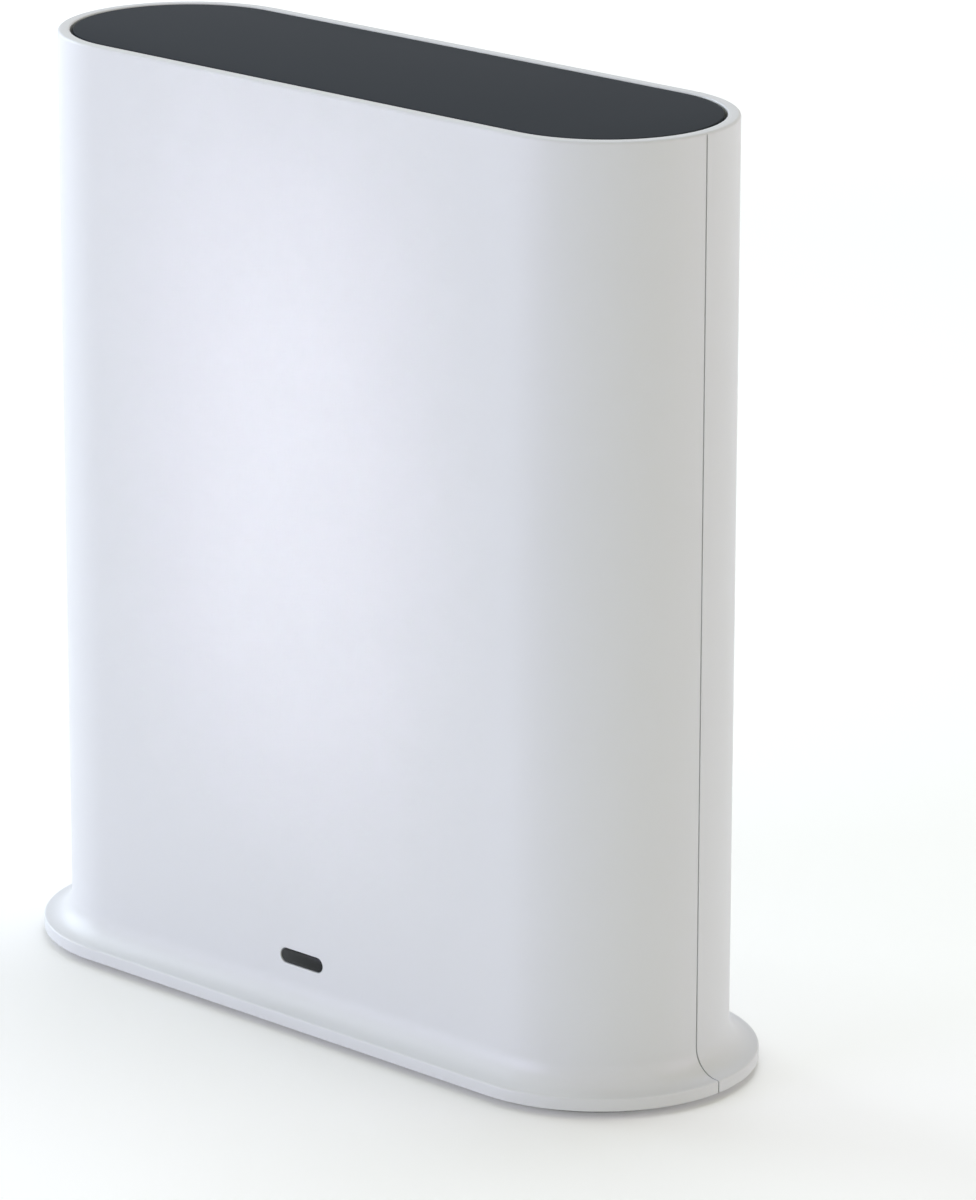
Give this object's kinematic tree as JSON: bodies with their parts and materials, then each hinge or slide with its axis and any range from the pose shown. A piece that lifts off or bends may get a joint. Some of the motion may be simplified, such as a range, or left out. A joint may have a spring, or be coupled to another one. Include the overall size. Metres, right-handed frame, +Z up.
{
  "type": "security camera base station",
  "caption": "Slim upright base station for wireless security cameras: stadium-section tower on a flared foot, dark inset top cap, status window, rear sockets and sync button.",
  "frame": {"origin": "on the floor, under the middle of the foot", "axes": "+Z up, -Y towards the front face with the status window, +X to the right of someone facing it"},
  "size_m": [0.138, 0.05, 0.15],
  "materials": {
    "case_white": "satin moulded ABS",
    "cap_grey": "fine matt moulded plastic",
    "base_plastic": "moulded plastic",
    "foot_rubber": "matt silicone rubber",
    "window_smoke": "smoked polycarbonate",
    "clear_plastic": "clear polycarbonate",
    "board_laminate": "glass-epoxy laminate under green mask",
    "screw_steel": "zinc-plated steel",
    "led_body": "white package",
    "chip_epoxy": "black moulding compound",
    "thermal_silicone": "soft gap filler",
    "sink_aluminium": "extruded aluminium",
    "clip_nylon": "white nylon",
    "tinned_steel": "tin-plated sheet",
    "socket_plastic": "black thermoplastic",
    "gold_contact": "gold-plated spring metal",
    "can_aluminium": "drawn aluminium can",
    "lead_jacket": "thin coaxial jacket"
  },
  "bodies": {
    "station": {"front_shell": "case_white", "rear_shell": "case_white", "top_cap": "cap_grey", "base_plate": "base_plastic", "antenna_tray": "base_plastic", "foot_pad": "foot_rubber", "status_window": "window_smoke", "light_pipe": "clear_plastic", "main_board": "board_laminate", "antenna_left": "board_laminate", "antenna_right": "board_laminate", "case_screws": "screw_steel", "board_screws": "screw_steel", "tray_screws": "screw_steel", "status_led": "led_body", "processor": "chip_epoxy", "memory_chips": "chip_epoxy", "radio_chips": "chip_epoxy", "network_transformer": "chip_epoxy", "power_coils": "chip_epoxy", "thermal_pad": "thermal_silicone", "heat_sink": "sink_aluminium", "heat_sink_pins": "clip_nylon", "radio_shield_left": "tinned_steel", "radio_shield_right": "tinned_steel", "network_shield": "tinned_steel", "usb_shell": "tinned_steel", "power_pin": "tinned_steel", "network_insert": "socket_plastic", "usb_tongue": "socket_plastic", "power_socket": "socket_plastic", "sync_switch": "socket_plastic", "reset_switch": "socket_plastic", "network_contacts": "gold_contact", "usb_contacts": "gold_contact", "antenna_plugs": "gold_contact", "capacitors": "can_aluminium", "antenna_lead_left": "lead_jacket", "antenna_lead_right": "lead_jacket"},
    "sync_key": {"sync_button": "case_white", "sync_plunger": "socket_plastic"},
    "reset_switch_plunger": {"reset_plunger": "socket_plastic"}
  },
  "joints": [
    {"name": "sync_press", "type": "slide", "parent": "station", "child": "sync_key", "axis": [0, -1, 0], "range_m": [0, 0.0005], "stiffness_N_per_m": 600, "springref_m": -0.002},
    {"name": "reset_press", "type": "slide", "parent": "station", "child": "reset_switch_plunger", "axis": [0, -1, 0], "range_m": [0, 0.0003], "stiffness_N_per_m": 600, "springref_m": -0.002}
  ]
}
